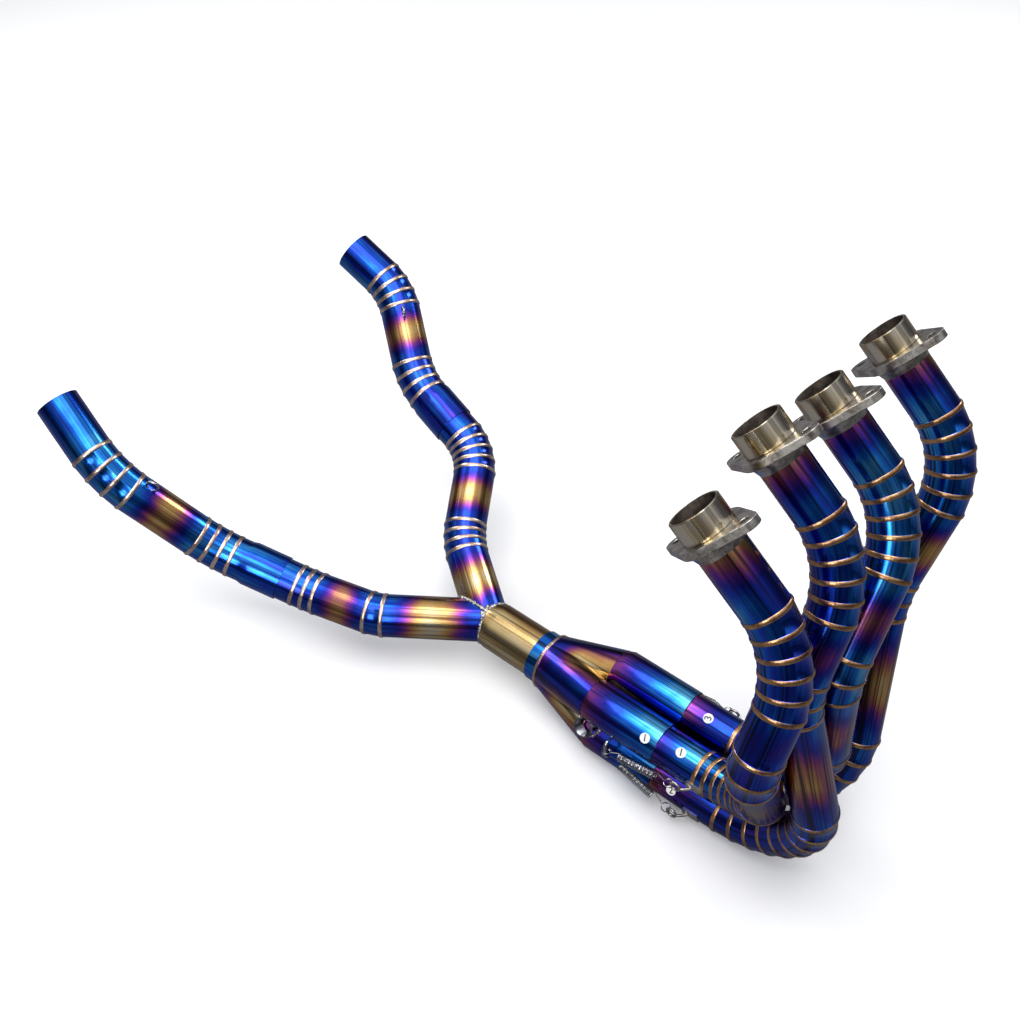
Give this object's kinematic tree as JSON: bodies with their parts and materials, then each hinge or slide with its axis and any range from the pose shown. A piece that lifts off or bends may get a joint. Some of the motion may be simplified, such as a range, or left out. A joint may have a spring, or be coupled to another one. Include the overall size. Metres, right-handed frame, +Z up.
{
  "type": "motorcycle exhaust header",
  "caption": "Mitred titanium motorcycle exhaust header: loose oval port flanges, pipes into one collector with a sensor boss, and a Y pipe with two link pipes.",
  "frame": {"origin": "centre of the first port's rim, at the open end of its sleeve", "axes": "+X forward, along the collector's axis towards the bends; +Y towards the fourth cylinder; +Z up as installed; the ports point up and rearward"},
  "size_m": [0.9573, 0.4727, 0.5437],
  "materials": {
    "titanium_header": "polished, heat tinted blue to purple",
    "titanium_collector": "polished, heat tinted blue, purple and straw",
    "titanium_tail": "polished, heat tinted straw, purple and blue",
    "machined_steel": "machined, slightly tinted straw",
    "spring_steel": "polished stainless wire"
  },
  "bodies": {
    "root": {"header_pipe_1": "titanium_header", "port_sleeve_1": "machined_steel", "port_flange_1": "machined_steel", "header_hook_1": "titanium_header", "spring_1": "spring_steel", "header_pipe_2": "titanium_header", "port_sleeve_2": "machined_steel", "port_flange_2": "machined_steel", "header_hook_2": "titanium_header", "spring_2": "spring_steel", "header_pipe_3": "titanium_header", "port_sleeve_3": "machined_steel", "port_flange_3": "machined_steel", "header_hook_3": "titanium_header", "spring_3": "spring_steel", "header_pipe_4": "titanium_header", "port_sleeve_4": "machined_steel", "port_flange_4": "machined_steel", "header_hook_4": "titanium_header", "spring_4": "spring_steel", "collector": "titanium_collector", "sensor_boss": "machined_steel", "y_pipe": "titanium_tail", "link_pipe_near": "titanium_tail", "collector_hook_near": "titanium_collector", "link_hanger_near": "spring_steel", "link_pipe_far": "titanium_tail", "collector_hook_far": "titanium_collector", "link_hanger_far": "spring_steel"}
  },
  "joints": []
}
